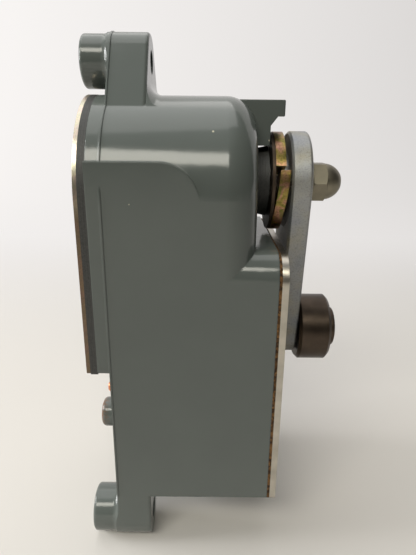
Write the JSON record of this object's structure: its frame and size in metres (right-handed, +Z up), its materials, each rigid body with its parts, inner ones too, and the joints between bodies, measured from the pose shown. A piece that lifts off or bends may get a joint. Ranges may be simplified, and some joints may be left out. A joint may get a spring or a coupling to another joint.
{
  "type": "roller lever limit switch",
  "caption": "Heavy-duty roller lever limit switch: painted die-cast housing with mounting ears, sprung rotary lever with a roller, and a tapped conduit entry.",
  "frame": {"origin": "midway between the two lower mounting holes, on the mounting surface that the bosses stand on", "axes": "+X out of the front, along the lever shaft; +Y across; +Z up, towards the shaft and the top ear"},
  "size_m": [0.0682, 0.0534, 0.1345],
  "materials": {
    "housing_paint": "gloss grey-green enamel",
    "black_rubber": "moulded, dull",
    "yellow_zinc": "yellow chromated zinc plate",
    "plated_steel": "zinc plated",
    "cork_gasket": "cork and rubber sheet",
    "nickel_plate": "bright plated sheet steel",
    "rusty_steel": "rusty",
    "copper_screw": "copper plated",
    "bearing_bronze": "sintered, oiled",
    "plain_steel": "ground",
    "dark_steel": "blackened and oiled",
    "cast_lever": "as cast, dull",
    "olive_nut": "olive chromated zinc plate",
    "spring_wire": "drawn wire",
    "brown_phenolic": "moulded",
    "contact_brass": "stamped",
    "black_phenolic": "moulded"
  },
  "bodies": {
    "switch_body": {"housing": "housing_paint", "rear_gasket": "black_rubber", "rear_cover": "yellow_zinc", "rear_cover_screws": "plated_steel", "front_gasket": "cork_gasket", "front_cover": "nickel_plate", "front_cover_screws": "plated_steel", "rear_plug": "rusty_steel", "ground_screw": "copper_screw", "shaft_bushing": "bearing_bronze", "shaft_seal": "black_rubber", "slide_guide": "plated_steel", "guide_screws": "plated_steel", "lower_spring": "spring_wire", "upper_spring": "spring_wire", "contact_block": "black_phenolic", "block_screws": "plated_steel", "upper_contacts": "contact_brass", "lower_contacts": "contact_brass", "terminal_clamps": "contact_brass", "terminal_screws": "contact_brass"},
    "lever_arm": {"shaft": "plain_steel", "retaining_ring": "dark_steel", "backing_washer": "dark_steel", "split_lock_washer": "yellow_zinc", "lever": "cast_lever", "nut_washer": "plated_steel", "cap_nut": "olive_nut", "roller_pin": "dark_steel", "crank": "plated_steel", "crank_pin": "plain_steel", "crank_screw": "dark_steel"},
    "roller_wheel": {"roller": "dark_steel", "roller_bushing": "bearing_bronze"},
    "contact_slide": {"operating_slide": "plated_steel", "carriage": "brown_phenolic", "carriage_screw": "plated_steel", "moving_contact": "contact_brass", "contact_springs": "spring_wire"}
  },
  "joints": [
    {"name": "lever_turn", "type": "hinge", "parent": "switch_body", "child": "lever_arm", "pos_m": [0.05, 0, 0.0917], "axis": [1, 0, 0], "range_deg": [-45, 45], "stiffness_Nm_per_rad": 0.5},
    {"name": "roller_spin", "type": "hinge", "parent": "lever_arm", "child": "roller_wheel", "pos_m": [0.0618, 0, 0.0492], "axis": [1, 0, 0], "continuous": true},
    {"name": "slide_travel", "type": "slide", "parent": "switch_body", "child": "contact_slide", "axis": [0, 0, 1], "range_m": [-0.00542, 0.00542], "deforming": ["lower_spring", "upper_spring"]}
  ],
  "couplings": [
    {"joint": "slide_travel", "follows": "lever_turn", "m_per_rad": 0.0069}
  ]
}
